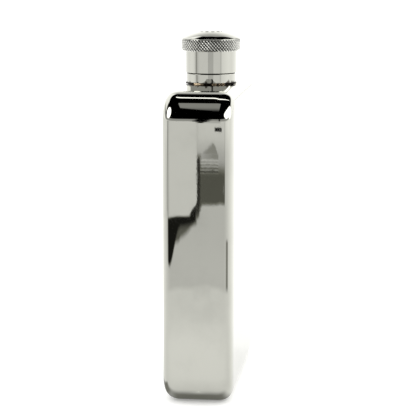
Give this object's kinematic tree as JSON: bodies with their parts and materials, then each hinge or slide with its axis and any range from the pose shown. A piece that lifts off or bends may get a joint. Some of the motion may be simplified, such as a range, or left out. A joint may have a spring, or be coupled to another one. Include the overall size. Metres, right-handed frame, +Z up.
{
  "type": "hip flask",
  "caption": "Slim polished metal hip flask with soft edges, a threaded spout with a collar, and a domed screw cap with a knurled rim that winds off the neck.",
  "frame": {"origin": "the middle of the flat base", "axes": "+Z up through the neck, X along the broad faces, Y through the thickness, with the front broad face towards -Y"},
  "size_m": [0.095, 0.027, 0.1398],
  "materials": {
    "polished_body": "mirror polished, with fine hand scratches",
    "machined_neck": "turned, fine tool lines",
    "polished_neck": "polished",
    "braze": "dull, darkened braze",
    "polished_cap": "mirror polished",
    "knurl": "diamond knurled, polished crests and darker grooves",
    "machined_cap": "turned, fine tool lines",
    "seal": "matte, slightly marked by the lip",
    "washer": "smooth, matte"
  },
  "bodies": {
    "flask": {"front_shell": "polished_body", "rear_shell": "polished_body", "spout": "machined_neck", "collar": "polished_neck", "braze_fillet": "braze", "neck_backing_ring": "machined_neck"},
    "seal": {"seal_disc": "seal", "seal_washer": "washer"},
    "cap": {"cap_skirt": "polished_cap", "knurled_rim": "knurl", "cap_crown": "polished_cap", "thread_insert": "machined_cap"}
  },
  "joints": [
    {"name": "cap_lift", "type": "slide", "parent": "flask", "child": "seal", "axis": [0, 0, 1], "range_m": [0, 0.024]},
    {"name": "cap_turn", "type": "hinge", "parent": "seal", "child": "cap", "pos_m": [0, 0, 0.128], "axis": [0, 0, 1], "range_deg": [0, 2880]}
  ],
  "couplings": [
    {"joint": "cap_lift", "follows": "cap_turn", "m_per_rad": 0.00047746}
  ]
}
